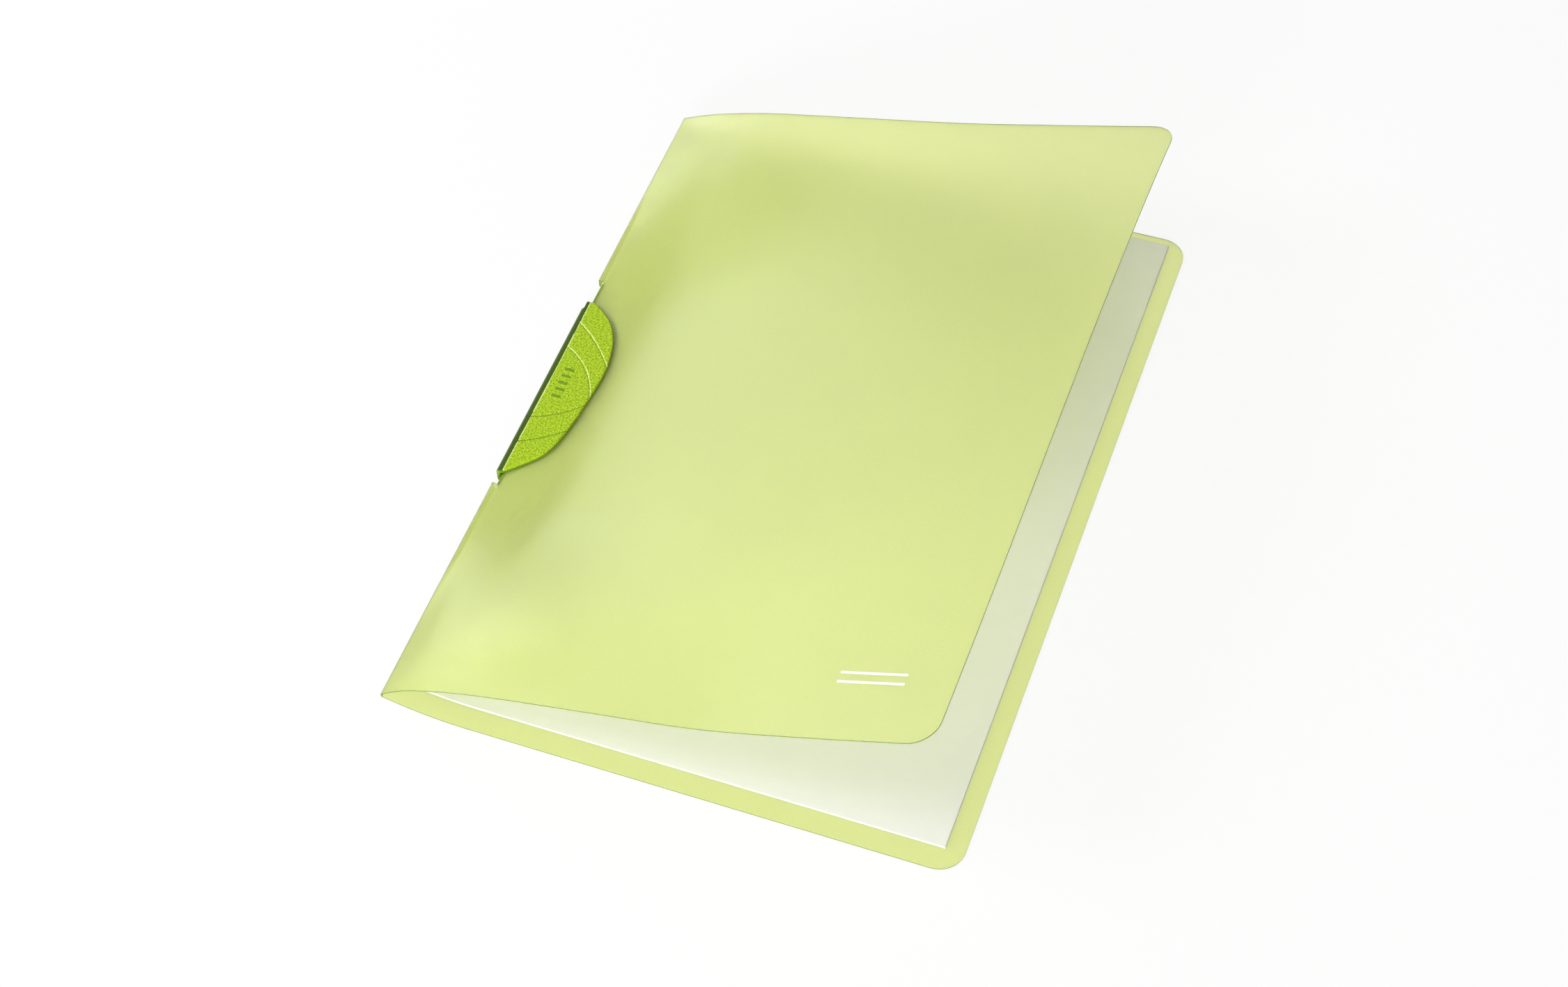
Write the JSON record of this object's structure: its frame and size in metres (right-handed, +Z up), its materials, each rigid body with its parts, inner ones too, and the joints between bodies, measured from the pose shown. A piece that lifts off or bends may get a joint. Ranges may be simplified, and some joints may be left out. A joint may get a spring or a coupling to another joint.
{
  "type": "clip folder",
  "caption": "Translucent film folder for loose A4 sheets, standing ajar, with a leaf-shaped clip that swings over the spine edge to grip them.",
  "frame": {"origin": "centre of the footprint at the level of the table", "axes": "+X from the spine to the free edges of the covers, +Y along the spine from the bottom edge to the top edge, +Z up out of the back cover"},
  "size_m": [0.2208, 0.31, 0.0795],
  "materials": {
    "cover_film": "frosted translucent pale green polypropylene film",
    "paper": "uncoated white office paper",
    "rail_plastic": "moulded lime green plastic",
    "clip_plastic": "clear lime green plastic with a fine grain"
  },
  "bodies": {
    "root": {"back_cover": "cover_film", "clip_rail": "rail_plastic", "paper_sheets": "paper"},
    "front": {"front_cover": "cover_film"},
    "clip": {"swing_clip": "clip_plastic"}
  },
  "joints": [
    {"name": "cover_open", "type": "hinge", "parent": "root", "child": "front", "pos_m": [-0.08955, 0, 0.009], "axis": [0, -1, 0], "range_deg": [-18, 150]},
    {"name": "clip_swing", "type": "hinge", "parent": "root", "child": "clip", "pos_m": [-0.10935, 0.04315, 0.0034], "axis": [0, 0, -1], "range_deg": [0, 90]}
  ]
}
